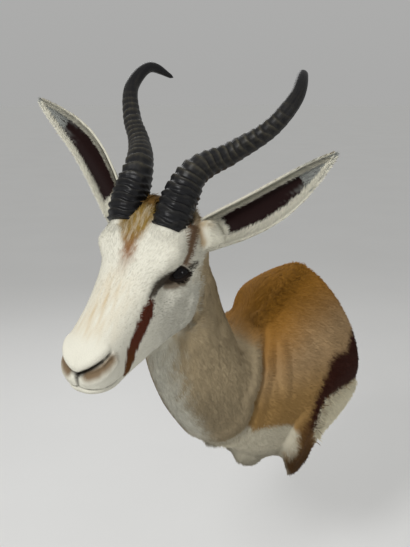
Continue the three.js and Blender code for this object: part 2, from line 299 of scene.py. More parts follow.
# Eye opening: the way it faces, the way from its front corner to its rear corner, half length and height.
EYE_FACES = np.array([0.72, -0.52, 0.42])
EYE_LONG = np.array([0.655, 0.745, -0.145])
EYE_SHIFT = 3 * MM
EYE_HALF_LENGTH = 14 * MM
EYE_HALF_HEIGHT = 6.8 * MM
EYE_REACH = 26 * MM
EYE_SUNK = 2 * MM
LID_SWELL = 1.1 * MM
LID_AT = 1.2 * MM
LID_WIDE = 2 * MM
LID_REACH = 7 * MM
EYE_FACES = EYE_FACES / np.linalg.norm(EYE_FACES)
EYE_LONG = EYE_LONG - EYE_FACES * (EYE_LONG @ EYE_FACES)
EYE_LONG = EYE_LONG / np.linalg.norm(EYE_LONG)
EYE_UP = np.cross(EYE_LONG, EYE_FACES)


def lid_distance(head_places):
    """How far each place is outside the almond of the eye, and its place across and up the eye."""
    offset = both_sides(head_places) - EYE_AT
    across = offset @ EYE_LONG + EYE_SHIFT
    up = offset @ EYE_UP
    rim = EYE_HALF_HEIGHT * (1 - (across / EYE_HALF_LENGTH) ** 2)
    outside = np.abs(up) - rim
    far = (offset @ EYE_FACES < 0) | (np.linalg.norm(offset, axis=1) > EYE_REACH)
    return np.where(far, 1, outside), across, up


places = vertex_values(hide_mesh, "co")
normals = vertex_values(hide_mesh, "normal")
face = both_sides(to_head(places))
push = np.zeros(len(places))
for line, reach, amount in FACE_LINES:
    push += amount * np.exp(-2 * (along(face, line)[0] / reach) ** 2)
body = both_sides(places)
for line, reach, amount in BODY_LINES:
    distance, share = along(body, line)
    push += amount * np.exp(-2 * (distance / reach) ** 2) * (smooth(share, 0, 0.3) if line is CREASE else 1)
for line, reach, amount in ONE_SIDE_LINES:
    push += amount * np.exp(-2 * (along(places, line)[0] / reach) ** 2)
places = places + normals * push[:, None]
outside, across, up = lid_distance(to_head(places))
face = to_head(places)
eye_centre = EYE_AT * np.where(face[:, :1] < 0, [[-1, 1, 1]], [[1, 1, 1]])
spoke = face - eye_centre
radius = np.linalg.norm(spoke, axis=1)
lid = LID_RADIUS + LID_SWELL * np.exp(-(((outside - LID_AT) / LID_WIDE) ** 2))
close = outside < LID_REACH
raised = np.where(close, np.maximum(radius, lid), radius)
opened = EYE_RADIUS - EYE_SUNK + (raised - EYE_RADIUS + EYE_SUNK) * smooth(outside, -0.9 * MM, 0.3 * MM)
radius_now = np.where(close, opened, radius)
places = from_head(eye_centre + spoke * (radius_now / np.maximum(radius, MM))[:, None])
hide_rest = places - normals * push[:, None]
hide_mesh.vertices.foreach_set("co", places.ravel())
hide_mesh.update()

# Coat colours, as light reflected by the hair, and the places that each one covers.
FACE_WHITE = (0.69, 0.67, 0.57)
NOSE_TAN = (0.60, 0.51, 0.36)
BLAZE_TAN = (0.24, 0.15, 0.035)
BLAZE_RED = (0.24, 0.115, 0.05)
CROWN_BROWN = (0.14, 0.075, 0.020)
STRIPE_DARK = (0.085, 0.020, 0.009)
STRIPE_LOW = (0.10, 0.034, 0.004)
TEAR_DARK = (0.030, 0.020, 0.012)
STREAK = (0.12, 0.052, 0.016)
EYE_BROWN = (0.12, 0.08, 0.045)
EAR_TAN = (0.30, 0.19, 0.08)
NECK_GREY = (0.36, 0.285, 0.175)
THROAT_WHITE = (0.58, 0.56, 0.47)
NAPE = (0.23, 0.17, 0.09)
SHOULDER_FAWN = (0.36, 0.24, 0.123)
SHOULDER_LOW = (0.31, 0.185, 0.065)
SADDLE_RUFOUS = (0.37, 0.17, 0.025)
FLANK_DARK = (0.034, 0.008, 0.0035)
BELLY_WHITE = (0.60, 0.55, 0.42)
BELLY_CREAM_LIT = (0.74, 0.68, 0.50)
CREASE_SHADE = (0.10, 0.065, 0.03)
LEG_BROWN = (0.115, 0.056, 0.019)
NOSTRIL_TAN_SHADE = (0.13, 0.07, 0.022)
SKIN_BLACK = (0.012, 0.008, 0.006)
EAR_EDGE = (0.60, 0.58, 0.48)
EAR_BACK = (0.40, 0.30, 0.17)
EAR_FACES = {"left": np.array([0.25, -1, 0.1]), "right": np.array([-0.1, -1, 0.1])}


def between(t, low, high, first, last):
    """A value that is first at low and last at high."""
    return (high - t) / (high - low) * first + (t - low) / (high - low) * last


def smooth_line(points, shares):
    """Points at the given shares of a smooth curve through the points, by the spacing of the points."""
    points = np.asarray(points, float)
    ends = np.vstack([2 * points[0] - points[1], points, 2 * points[-1] - points[-2]])
    knots = np.concatenate([[0], np.cumsum(np.sqrt(np.linalg.norm(np.diff(ends, axis=0), axis=1)))])
    fine = []
    for i in range(1, len(ends) - 2):
        t = np.linspace(knots[i], knots[i + 1], 80, endpoint=False)[:, None]
        k = knots[i - 1:i + 3]
        p = ends[i - 1:i + 3]
        a = [between(t, k[j], k[j + 1], p[j], p[j + 1]) for j in range(3)]
        b = [between(t, k[j], k[j + 2], a[j], a[j + 1]) for j in range(2)]
        fine.append(between(t, k[1], k[2], b[0], b[1]))
    fine = np.vstack([*fine, points[-1:]])
    run = np.concatenate([[0], np.cumsum(np.linalg.norm(np.diff(fine, axis=0), axis=1))])
    run = run / run[-1]
    return np.stack([np.interp(shares, run, fine[:, i]) for i in range(3)], axis=1)


def ripple(places, size, seed):
    """A wavy value between about -1 and 1 that changes over the given size."""
    random = np.random.default_rng(seed)
    total = np.zeros(len(places))
    for _ in range(7):
        way = random.normal(size=3)
        way *= random.uniform(0.7, 1.9) * 2 * np.pi / (size * np.linalg.norm(way))
        total += np.sin(places @ way + random.uniform(0, 2 * np.pi))
    return total / 2.7


def painted(colours, colour, share):
    return colours + (np.asarray(colour) - colours) * share[:, None]


def within(flat, outline):
    """The signed distance of places in a plane from a closed outline, below zero inside it."""
    outline = np.asarray(outline)
    inside = np.zeros(len(flat), bool)
    distance = np.full(len(flat), np.inf)
    for start, end in zip(outline, np.roll(outline, -1, axis=0)):
        edge = end - start
        share = np.clip(((flat - start) @ edge) / (edge @ edge), 0, 1)
        distance = np.minimum(distance, np.linalg.norm(flat - start - share[:, None] * edge, axis=1))
        rises = (start[1] > flat[:, 1]) != (end[1] > flat[:, 1])
        cross = start[0] + (flat[:, 1] - start[1]) * edge[0] / (edge[1] if edge[1] else MM**3)
        inside ^= rises & (flat[:, 0] < cross)
    return np.where(inside, -distance, distance)


# Edges on the body, as y and z: the line between neck and shoulder, and the outlines of the side markings.
SADDLE_TOP = np.array([
    [-330, 120], [-202, 96], [-170, 84], [-133, 104], [-99, 124], [-30, 138], [0, 138],
]) * MM
FLANK = np.array([
    [10, 66], [-14, 52], [-40, 33], [-66, 36], [-84, 28], [-108, -7], [-129, -52], [-121, -60],
    [-100, -36], [-84, -23], [-47, -18], [10, -22],
]) * MM
BELLY = np.array([
    [10, -20], [-47, -17], [-84, -21], [-100, -34], [-117, -60], [-100, -90], [-60, -200],
    [10, -200],
]) * MM
LEG_EDGE = [[-142, -56], [-141.5, -70], [-141.5, -90], [-145, -106], [-152, -117]]
LEG_STRIPE = np.array([
    [-106, -28], [-120, -36], [-134, -46], *LEG_EDGE, [-152, -150], [-100, -150], [-105, -90],
    [-108, -60], [-100, -38],
]) * MM
CHEST_WHITE = np.array([
    [-260, -70], [-232, -34], [-212, -35], [-198, -35.5], [-179, -37.5], [-162, -41],
    [-147, -47.5], *LEG_EDGE, [-160, -150], [-160, -220], [-260, -220],
]) * MM
NECK_MIDDLE = np.array([[-60, -215], [0, -240], [100, -285], [150, -295]]) * MM
CHEEK_BACK = np.array([
    [-90, 6], [-68, 11], [-48, 16], [-21, 18], [7, 15], [22, 26], [40, 34], [60, 30], [100, 18],
]) * MM
BLAZE = np.array([[0, 6, 80], [-5, -1, 74], [-7, -11, 63], [-4, -24, 51], [0, -40, 39], [1, -52, 29]]) * MM
STRIPE = np.array([
    [34.4, -56, 4], [35, -58, -5], [34.5, -64, -11], [33, -80, -27], [31.4, -96, -42],
    [29.5, -103, -58],
]) * MM
TEAR_PATCH = np.array([
    [40, -18, 12], [38.5, -27, 13.5], [36, -35.5, 13.5], [34.5, -44, 11], [33.7, -53, 5],
]) * MM
REAR_CORNER = np.array([[45, -1, 9], [49.5, 5, 12], [52, 10, 16]]) * MM
EYE_STREAK = np.array([[47.5, -2, 20], [50, -1, 28], [52.5, 2, 37], [53, 6.5, 46], [52.5, 13, 54]]) * MM
EAR_PATCH = np.array([[49, 29, 66], [51.5, 25, 53], [54.5, 23, 45], [56.5, 23, 36]]) * MM
UNDER_EYE = np.array([[36, -24, 5], [39, -18, 2], [45.5, -11, 1.5], [51, -5, 5]]) * MM


def coat_colour(places):
    """The colour of the coat at each place."""
    head = to_head(places)
    face = both_sides(head)
    body = both_sides(places)
    flat = body[:, 1:]
    rag = ripple(places * [1, 1, 0.6], 9 * MM, 3) * MM
    cloud = ripple(places, 60 * MM, 5)
    streaks = ripple(places * [1, 1, 0.18], 7 * MM, 11)
    top = np.interp(places[:, 1], SADDLE_TOP[:, 0], SADDLE_TOP[:, 1])
    colours = np.tile(np.array(SHOULDER_FAWN), (len(places), 1)) * (1 + 0.10 * cloud[:, None])
    colours = painted(colours, SHOULDER_LOW, smooth(-places[:, 2], -45 * MM, 15 * MM))
    colours = painted(colours, SADDLE_RUFOUS, smooth(places[:, 2] - top, -75 * MM, -12 * MM))
    side = smooth(body[:, 0], 45 * MM, 65 * MM)
    leg = smooth(-within(flat, LEG_STRIPE) + 1.5 * rag, -7 * MM, 7 * MM)
    colours = painted(colours, LEG_BROWN, side * leg)
    colours = painted(colours, FLANK_DARK, side * smooth(-within(flat, FLANK) + 2 * rag, -4 * MM, 5 * MM))
    low = smooth(-within(flat, BELLY) + 2.5 * rag, -3 * MM, 3 * MM)
    inner_leg = 1 - smooth(body[:, 0], 68 * MM, 82 * MM)
    under = smooth(-places[:, 2], 70 * MM, 90 * MM) * inner_leg
    colours = painted(colours, BELLY_WHITE, under)
    # Cream-white belly hair, brightened over the chest's white with painted light, since the underside faces
    # away from the key.
    colours = painted(colours, BELLY_CREAM_LIT, low)
    chest = smooth(-within(flat, CHEST_WHITE) + 1.5 * rag, -3 * MM, 3 * MM)
    colours = painted(colours, BELLY_WHITE, chest)
    shaded = 1 - 0.12 * chest - 0.42 * smooth(-places[:, 2], 70 * MM, 108 * MM)
    colours = colours * shaded[:, None]
    rough = np.exp(-((along(places, RIDGE)[0] / (5 * MM)) ** 2))
    rough = rough * smooth(ripple(places, 8 * MM, 15), -0.4, 0.6)
    colours = painted(colours, LEG_BROWN, 0.35 * rough)
    crease = np.interp(places[:, 2], CREASE[::-1, 2], CREASE[::-1, 1])
    lift = smooth(places[:, 2], 40 * MM, 95 * MM)
    neck = smooth(crease - places[:, 1], -3 * MM - 4 * MM * lift, 6 * MM + 60 * MM * lift)
    neck = neck * smooth(places[:, 2], -75 * MM, -60 * MM)
    # Painted shade: the neck's grey is darkened towards its lower end.
    low_neck_shade = 1 - 0.28 * smooth(-places[:, 2], -60 * MM, 10 * MM)
    grey = np.array(NECK_GREY) * (low_neck_shade * (1 + 0.08 * streaks + 0.05 * cloud))[:, None]
    colours = colours + (grey - colours) * neck[:, None]
    fold = np.exp(-((along(body, CREASE)[0] / (3.4 * MM)) ** 2)) * smooth(-places[:, 2], -60 * MM, -20 * MM)
    colours = painted(colours, CREASE_SHADE, 0.85 * fold)
    nape = smooth(places[:, 1], -290 * MM, -240 * MM) * smooth(places[:, 2], 70 * MM, 150 * MM)
    nape = nape * (1 - smooth(places[:, 1], -225 * MM, -190 * MM))
    colours = painted(colours, NAPE, 0.75 * neck * nape)
    middle = np.abs(places[:, 0] - np.interp(places[:, 2], [-60 * MM, 145 * MM], [4 * MM, 19 * MM]))
    halfway = np.interp(places[:, 2], NECK_MIDDLE[:, 0], NECK_MIDDLE[:, 1])
    front = smooth(halfway - places[:, 1], 5 * MM, 40 * MM)
    throat = neck * front * (1 - fold) * (1 - smooth(middle + 6 * rag, 8 * MM, 38 * MM))
    colours = painted(colours, THROAT_WHITE, throat)
    under_jaw = smooth(-head[:, 2], 62 * MM, 76 * MM) * (1 - smooth(head[:, 1] + 4 * rag, -25 * MM, 0))
    under_jaw = under_jaw * (1 - smooth(face[:, 0], 20 * MM, 34 * MM))
    colours = painted(colours, FACE_WHITE, under_jaw * smooth(head[:, 2], -125 * MM, -95 * MM))
    back = np.interp(head[:, 2], CHEEK_BACK[:, 0], CHEEK_BACK[:, 1])
    chin = np.interp(head[:, 1], [-70 * MM, -25 * MM], [-92 * MM, -72 * MM])
    white = 1 - smooth(head[:, 1] - back + 5 * rag, -9 * MM, 9 * MM)
    white = white * smooth(head[:, 2] - chin, -6 * MM, 4 * MM)
    # Painted shade: the face's white is greyed on the lower cheek, low on the side of the head.
    cheek_shade = smooth(head[:, 1], -70 * MM, -25 * MM) * smooth(-head[:, 2], -8 * MM, 25 * MM)
    shaded_white_hair = np.array(FACE_WHITE) * (1 - 0.22 * cheek_shade)[:, None]
    colours = colours + (shaded_white_hair - colours) * white[:, None]
    bridge = np.exp(-((head[:, 0] / (20 * MM)) ** 2)) * smooth(-head[:, 1], 40 * MM, 75 * MM)
    bridge = bridge * (1 - smooth(-head[:, 1], 115 * MM, 135 * MM)) * smooth(head[:, 2], -35 * MM, -10 * MM)
    colours = painted(colours, NOSE_TAN, 0.5 * bridge * (1 + 0.7 * ripple(head * [1, 0.15, 0.3], 6 * MM, 8)))
    distance, share = along(head, BLAZE)
    wide = np.interp(share, [0, 0.3, 0.6, 1], [32 * MM, 21 * MM, 9 * MM, 5 * MM])
    blaze = 1 - smooth(distance - wide + 1.6 * rag, -6 * MM, 6 * MM)
    blaze = blaze * np.clip(0.9 + 0.2 * ripple(head * [1, 0.2, 0.2], 5 * MM, 27), 0.6, 1)
    tan = np.array(BLAZE_TAN) + (np.array(BLAZE_RED) - BLAZE_TAN) * smooth(share, 0.35, 0.75)[:, None]
    colours = colours + (tan - colours) * (blaze * (1 - 0.75 * smooth(share, 0.75, 1)))[:, None]
    crown = smooth(head[:, 2], 70 * MM, 80 * MM) * (1 - smooth(np.abs(head[:, 0]), 26 * MM, 40 * MM))
    colours = painted(colours, CROWN_BROWN, crown * smooth(head[:, 1], -2 * MM, 14 * MM))
    distance, share = along(face, STRIPE)
    wide = np.interp(share, [0, 0.1, 0.2, 0.5, 0.8, 1], np.array([2, 7, 10, 9.4, 8.6, 6.5]) * MM)
    stripe = 1 - smooth(distance - wide + 1.1 * rag, -1.4 * MM, 1.8 * MM)
    brown = np.array(STRIPE_DARK) + (np.array(STRIPE_LOW) - STRIPE_DARK) * smooth(share, 0.55, 1)[:, None]
    colours = colours + (brown - colours) * stripe[:, None]
    for name, rib in EAR_RIBS.items():
        distance, share = along(head, rib)
        root = (distance < 36 * MM) * smooth(face[:, 0], 54 * MM, 64 * MM)
        offset = head - smooth_line(rib, share)
        behind = smooth(-(offset @ EAR_FACES[name]), 12 * MM, 26 * MM)
        colours = painted(colours, EAR_EDGE, root * (1 - behind))
        colours = painted(colours, EAR_BACK, root * behind)
    for line, first, last, soft, colour, strength in [
        (UNDER_EYE, 6.5, 5, 2.5, EYE_BROWN, 0.85),
        (TEAR_PATCH, 10.5, 4, 2.5, TEAR_DARK, 0.95),
        (REAR_CORNER, 5.5, 3, 2, TEAR_DARK, 0.92),
        (EYE_STREAK, 6, 8, 3, STREAK, 0.92),
        (EAR_PATCH, 6.5, 5, 4, EAR_TAN, 0.8),
        # Tan skin under the nostril slit, darkened with painted shade below the overhanging roof.
        (NOSTRIL_FLOOR, 5, 6, 4, NOSTRIL_TAN_SHADE, 0.9),
        (NOSTRIL, 1.2, 2.8, 2, SKIN_BLACK, 0.92),
        (PHILTRUM, 3.6, 2, 1.6, SKIN_BLACK, 0.88),
        (MOUTH, 1.1, 0.9, 0.9, SKIN_BLACK, 0.8),
        (JAW + np.array([0, 5, -5]) * MM, 2.2, 1.8, 3, CREASE_SHADE, 0.7),
    ]:
        distance, share = along(face, line)
        half = first + (last - first) * share
        past = smooth(distance / MM - half + 0.25 * rag / MM, -soft, soft)
        colours = painted(colours, colour, strength * (1 - past))
    outside, across, up = lid_distance(head)
    # Dark lid skin round the eye; on the upper lid it is widened with painted shade under the brow.
    rim = np.where(up > 0, 3.4 * MM, 0.9 * MM)
    colours = painted(colours, SKIN_BLACK, 1 - smooth(outside - rim, -0.4 * MM, 0.9 * MM))
    lower_lid = (up < 0) * np.exp(-(((outside - 2.1 * MM) / (0.8 * MM)) ** 2))
    colours = painted(colours, FACE_WHITE, 0.6 * lower_lid)
    return np.clip(colours, 0.004, 0.9)


def set_colours(mesh, colours):
    attribute = mesh.color_attributes.new("coat", "FLOAT_COLOR", "POINT")
    values = np.concatenate([colours, np.ones((len(colours), 1))], axis=1)
    attribute.data.foreach_set("color", values.ravel())


SPECKLE_DARK = (0.6, 0.6, 0.6, 1)
SPECKLE_PALE = (1, 1, 1, 1)


def coat_material(name, roughness, bump_scale, bump_depth):
    material, tree, shader = new_material(name, roughness)
    coat = tree.nodes.new("ShaderNodeAttribute")
    coat.attribute_name = "coat"
    speckle = noise_on(tree, object_place(tree), bump_scale, 3)
    blend = tree.nodes.new("ShaderNodeMix")
    blend.data_type = "RGBA"
    blend.blend_type = "MULTIPLY"
    blend.inputs["Factor"].default_value = 0.22
    tree.links.new(coat.outputs["Color"], blend.inputs["A"])
    shade = ramp_on(tree, speckle, [(0.3, SPECKLE_DARK), (0.7, SPECKLE_PALE)])
    tree.links.new(shade, blend.inputs["B"])
    tree.links.new(blend.outputs["Result"], shader.inputs["Base Color"])
    bump_on(tree, shader, speckle, 0.5, bump_depth)
    return material, shader


def add_piece(name, mesh, material, slot, *nodes):
    piece = bpy.data.objects.new(name, mesh)
    bpy.context.scene.collection.objects.link(piece)
    mesh.materials.clear()
    mesh.materials.append(material)
    mesh.shade_smooth()
    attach(piece, "root")
    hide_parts(*nodes)


hide_leather, shader = coat_material("hide", 0.75, 900, 0.5 * MM)
shader.inputs["Specular IOR Level"].default_value = 0.1
set_colours(hide_mesh, coat_colour(hide_rest))
add_piece("hide", hide_mesh, hide_leather, "hide", "cape")


# Ears: thin cups of cartilage with the skin left on, dark and nearly bare inside, pale along the edges.
# Each is sewn into the hide at its root and stiffened, so it keeps its leaf shape and sharp tip.
EAR_WIDE = {"left": 1.05, "right": 1.2}
UPPER_EDGE = {"left": -1, "right": 1}
LOWER_BAND = {"left": 0.78, "right": 0.92}
EAR_SHARES = [0, 0.12, 0.24, 0.4, 0.55, 0.7, 0.84, 0.94, 1]
EAR_HALF = np.array([15, 16.5, 16.5, 15.5, 14, 11.5, 8, 4.2, 0.8]) * MM
EAR_FULL = [1, 1.1, 1.3, 1.5, 1.6, 1.6, 1.5, 1.3, 1]
EAR_DEPTH = np.array([13, 15, 15, 13, 11, 8, 4.5, 2, 0.4]) * MM
EAR_WALL = 2.6 * MM
EAR_ROWS = 110
EAR_COLUMNS = 44
EAR_INSIDE = (0.013, 0.0055, 0.005)
EAR_TIP = (0.27, 0.28, 0.26)


def ear_axes(name):
    """The way to the ear's tip, the way its cup faces and the way across it, in the head's frame."""
    axis = EAR_RIBS[name][-1] - EAR_RIBS[name][0]
    axis = axis / np.linalg.norm(axis)
    face = EAR_FACES[name] - axis * (EAR_FACES[name] @ axis)
    face = face / np.linalg.norm(face)
    return axis, face, np.cross(axis, face)


def ear_half(name, shares, spans):
    """How far the edge stands from the rib, fuller on the one side."""
    half = np.interp(shares, EAR_SHARES, EAR_HALF) * EAR_WIDE[name]
    return half * np.where(spans > 0, np.interp(shares, EAR_SHARES, EAR_FULL), 1)


def ear_places(name, shares, spans):
    """Places on the middle of the ear's wall, at shares of its length and spans from edge to edge."""
    rib = smooth_line(EAR_RIBS[name], shares)
    axis, face, across = ear_axes(name)
    half = ear_half(name, shares, spans)
    depth = np.interp(shares, EAR_SHARES, EAR_DEPTH)
    sag = depth * (1 - spans**2)
    return from_head(rib + across * (half * spans)[:, None] - face * sag[:, None]), face


def ear_colour(name, shares, spans, inner, places):
    rag = ripple(places, 7 * MM, 21)
    colours = np.where(inner[:, None], [EAR_INSIDE], [EAR_BACK])
    upward = spans * UPPER_EDGE[name] + 0.05 * rag
    lower = LOWER_BAND[name]
    rims = np.maximum(smooth(upward, 0.76, 0.88), smooth(-upward, lower - 0.02, lower + 0.06))
    colours = painted(colours, EAR_EDGE, rims)
    tip = inner * smooth(shares + 0.05 * rag, 0.6, 0.92) * smooth(np.abs(spans), 0.1, 0.6)
    colours = painted(colours, EAR_TIP, tip * 0.8)
    colours = painted(colours, EAR_EDGE, smooth(shares, 0.93, 0.98))
    return painted(colours, EAR_EDGE, inner * (1 - smooth(shares + 0.02 * rag, 0.11, 0.16)))


ear_skin, shader = coat_material("ear_skin", 0.6, 700, 0.4 * MM)
shader.inputs["Specular IOR Level"].default_value = 0.06
for name in EAR_RIBS:
    bm = bmesh.new()
    bmesh.ops.create_grid(bm, x_segments=EAR_ROWS, y_segments=EAR_COLUMNS, size=1)
    shares = np.array([0.5 + vert.co.x / 2 for vert in bm.verts])
    spans = np.array([vert.co.y for vert in bm.verts])
    shares = 0.03 + 0.97 * shares
    placed, face = ear_places(name, shares, spans)
    for vert, place in zip(bm.verts, placed):
        vert.co = place
    bmesh.ops.recalc_face_normals(bm, faces=bm.faces)
    facing = Vector(HEAD_AXES @ face)
    if sum(f.normal.dot(facing) for f in bm.faces) < 0:
        bmesh.ops.reverse_faces(bm, faces=bm.faces)
    bmesh.ops.solidify(bm, geom=bm.faces[:], thickness=EAR_WALL)
    bmesh.ops.remove_doubles(bm, verts=bm.verts, dist=0.02 * MM)
    mesh = bpy.data.meshes.new("ear_" + name)
    bm.to_mesh(mesh)
    bm.free()
    mesh.update()
    ear_verts = vertex_values(mesh, "co")
    ear_normals = vertex_values(mesh, "normal")
    inner = ear_normals @ np.array(facing) > 0
    nearest = np.array([np.argmin(((placed - place) ** 2).sum(axis=1)) for place in ear_verts])
    set_colours(mesh, ear_colour(name, shares[nearest], spans[nearest], inner, ear_verts))
    add_piece("ear_" + name, mesh, ear_skin, "hide", "cape")


# Eyes: blown glass with a dark brown iris and a level slot of a pupil, set into the form under the lids.
# The front is polished clear, so it takes one sharp highlight.
IRIS_BROWN = (0.010, 0.006, 0.004, 1)
PUPIL_BLACK = (0.002, 0.002, 0.003, 1)

eye_glass, tree, shader = new_material("eye_glass", 0.08)
fibres = noise_on(tree, object_place(tree), 420, 4)
tree.links.new(ramp_on(tree, fibres, [(0.35, PUPIL_BLACK), (0.75, IRIS_BROWN)]), shader.inputs["Base Color"])
shader.inputs["Specular IOR Level"].default_value = 0.04
shader.inputs["Coat Weight"].default_value = 0.3
shader.inputs["Coat Roughness"].default_value = 0.03
for name, side in (("left", 1), ("right", -1)):
    bm = bmesh.new()
    centre = Matrix.Translation(Vector(from_head(EYE_AT * [side, 1, 1])))
    bmesh.ops.create_uvsphere(bm, u_segments=48, v_segments=32, radius=EYE_RADIUS, matrix=centre)
    mesh = bpy.data.meshes.new("glass_eye_" + name)
    bm.to_mesh(mesh)
    bm.free()
    add_piece("glass_eye_" + name, mesh, eye_glass, "eye_glass", "eye_" + name)


# Horns: hollow sheaths of black keratin, ringed from the root to past the middle and smooth at the tips.
# They stay on their bone cores, which are screwed to the form, and the hide is drawn up round their roots.
HORN_LINE = np.array([
    [28, 2, 56], [30, 16, 71], [36, 53, 103], [61, 95, 115], [92, 130, 134], [111, 164, 162],
    [105, 199, 178], [90, 230, 158],
]) * MM
HORN_SHARES = [0, 0.06, 0.14, 0.24, 0.36, 0.5, 0.65, 0.8, 0.92, 0.985, 1]
HORN_RADII = np.array([18, 20, 19.5, 16, 13.2, 11.4, 10.2, 8.2, 5.4, 2.6, 0.3]) * MM
HORN_RINGS = 23
RING_END = 0.74
RING_HEIGHT = 0.13
HORN_STATIONS = 420
HORN_AROUND = 56
HORN_BLACK = (0.007, 0.007, 0.008, 1)
HORN_OLIVE = (0.060, 0.053, 0.036, 1)

horn_keratin, tree, shader = new_material("horn", 0.42)
shader.inputs["Specular IOR Level"].default_value = 0.22
crest = tree.nodes.new("ShaderNodeAttribute")
crest.attribute_name = "crest"
streaks = noise_on(tree, object_place(tree), 260, 5)
blend = tree.nodes.new("ShaderNodeMath")
blend.operation = "MULTIPLY"
tree.links.new(crest.outputs["Fac"], blend.inputs[0])
tree.links.new(streaks, blend.inputs[1])
tone = ramp_on(tree, blend.outputs["Value"], [(0.03, HORN_BLACK), (0.55, HORN_OLIVE)])
tree.links.new(tone, shader.inputs["Base Color"])
bump_on(tree, shader, streaks, 0.4, 0.5 * MM)


def horn_frames(side):
    """Centres and two cross directions along the horn, without twist."""
    shares = np.linspace(0, 1, HORN_STATIONS + 1)
    centres = smooth_line(HORN_LINE * [side, 1, 1], shares)
    ways = np.gradient(centres, axis=0)
    ways /= np.linalg.norm(ways, axis=1)[:, None]
    firsts = []
    first = np.array([0, -1, 0.5])
    for way in ways:
        first = first - way * (first @ way)
        first = first / np.linalg.norm(first)
        firsts.append(first)
    return shares, centres, np.array(firsts), np.cross(ways, firsts)


for name, side in (("left", 1), ("right", -1)):
    shares, centres, firsts, seconds = horn_frames(side)
    bm = bmesh.new()
    profile = [bm.verts.new((1, 0, i)) for i in range(HORN_STATIONS + 1)]
    strip = [bm.edges.new(pair) for pair in zip(profile, profile[1:])]
    bmesh.ops.spin(
        bm,
        geom=profile + strip,
        cent=(0, 0, 0),
        axis=(0, 0, 1),
        angle=2 * np.pi,
        steps=HORN_AROUND,
        use_merge=True,
    )
    grid = np.array([vert.co for vert in bm.verts])
    angle = np.arctan2(grid[:, 1], grid[:, 0])
    station = np.rint(grid[:, 2]).astype(int)
    share = shares[station]
    wobble = ripple(np.stack([np.cos(angle), np.sin(angle), share * 14], axis=1), 2.4, 31 + side)
    root = 1 - smooth(share, 0.1, 0.22)
    phase = HORN_RINGS * (share / RING_END) ** 0.9 + 0.3 * np.cos(angle) + (0.16 + 0.3 * root) * wobble
    saw = phase % 1
    tooth = np.where(saw < 0.72, saw / 0.72, (1 - saw) / 0.28) ** 1.4
    ringed = 1 - smooth(share, RING_END - 0.2, RING_END + 0.02)
    round_it = np.stack([np.cos(angle), np.sin(angle)], axis=1)
    bark = root * ripple(np.column_stack([round_it, share * 70]), 1.1, 37 + side)
    flutes = ripple(np.column_stack([round_it, share * 3]), 0.5, 47 + side)
    front = 0.72 + 0.28 * np.cos(angle)
    height = RING_HEIGHT * (1.25 - 0.8 * share) * tooth * ringed * front
    radius = np.interp(share, HORN_SHARES, HORN_RADII)
    radius = radius * (0.97 + height + 0.025 * wobble * (1 - share) + 0.03 * bark + 0.012 * flutes)
    bent = centres[station] + firsts[station] * (radius * np.cos(angle))[:, None] * 1.04
    bent = bent + seconds[station] * (radius * np.sin(angle))[:, None] * 0.98
    bent = from_head(bent)
    for vert, place in zip(bm.verts, bent):
        vert.co = place
    bmesh.ops.holes_fill(bm, edges=[edge for edge in bm.edges if edge.is_boundary])
    bmesh.ops.recalc_face_normals(bm, faces=bm.faces)
    mesh = bpy.data.meshes.new("horn_sheath_" + name)
    bm.to_mesh(mesh)
    bm.free()
    values = mesh.attributes.new("crest", "FLOAT", "POINT")
    edge = smooth(tooth, 0.25, 1) * ringed * (0.6 + 0.4 * np.cos(angle))
    shine = (0.12 + 0.08 * flutes + 0.6 * edge) * (0.25 + 0.75 * smooth(share, 0.12, 0.24))
    shine = np.clip(shine * (1 - 0.7 * smooth(share, 0.72, 0.92)), 0, 1)
    values.data.foreach_set("value", shine.astype(np.float32))
    add_piece("horn_sheath_" + name, mesh, horn_keratin, "horn", "horn_" + name)


# Coat: the hair itself, short on the face, longer on the neck and shoulders, shaggy under the belly.
# Every hair is a narrow tapering blade rooted in the hide, lying the way the animal's coat lies.
HAIRS_A_PIECE = 64000
HAIR_ROOT = 0.5 * MM
WALL_CLEAR = -0.8 * MM
UV_CELLS = 257


def coat_flow(places, normals):
    """The way the hair lies at each place, along the surface."""
    head = to_head(places)
    on_head = (1 - smooth(head[:, 1], 20 * MM, 60 * MM)) * smooth(head[:, 2], -95 * MM, -70 * MM)
    on_neck = smooth(-places[:, 1], 170 * MM, 230 * MM)
    back = HEAD_AXES @ np.array([0, 1, -0.25])
    way = np.tile([0, 0.8, -0.6], (len(places), 1))
    way = way + (np.array([0, 0.42, -0.9]) - way) * on_neck[:, None]
    way = way + (back - way) * on_head[:, None]
    way = way - normals * (way * normals).sum(axis=1)[:, None]
    return way / np.maximum(np.linalg.norm(way, axis=1), 1e-6)[:, None]


def surface_samples(mesh, count, random, weight):
    mesh.calc_loop_triangles()
    corners = np.empty(len(mesh.loop_triangles) * 3, int)
    mesh.loop_triangles.foreach_get("vertices", corners)
    corners = corners.reshape(-1, 3)
    verts = vertex_values(mesh, "co")
    vert_normals = vertex_values(mesh, "normal")
    a, b, c = (verts[corners[:, i]] for i in range(3))
    area = np.linalg.norm(np.cross(b - a, c - a), axis=1) * weight((a + b + c) / 3)
    chosen = random.choice(len(area), size=count, p=area / area.sum())
    u, v = random.random(count), random.random(count)
    over = u + v > 1
    u[over], v[over] = 1 - u[over], 1 - v[over]
    parts = np.stack([1 - u - v, u, v], axis=1)
    corner = corners[chosen]
    places = (verts[corner] * parts[:, :, None]).sum(axis=1)
    normals = (vert_normals[corner] * parts[:, :, None]).sum(axis=1)
    rest = (hide_rest[corner] * parts[:, :, None]).sum(axis=1)
    return places, normals / np.linalg.norm(normals, axis=1)[:, None], rest


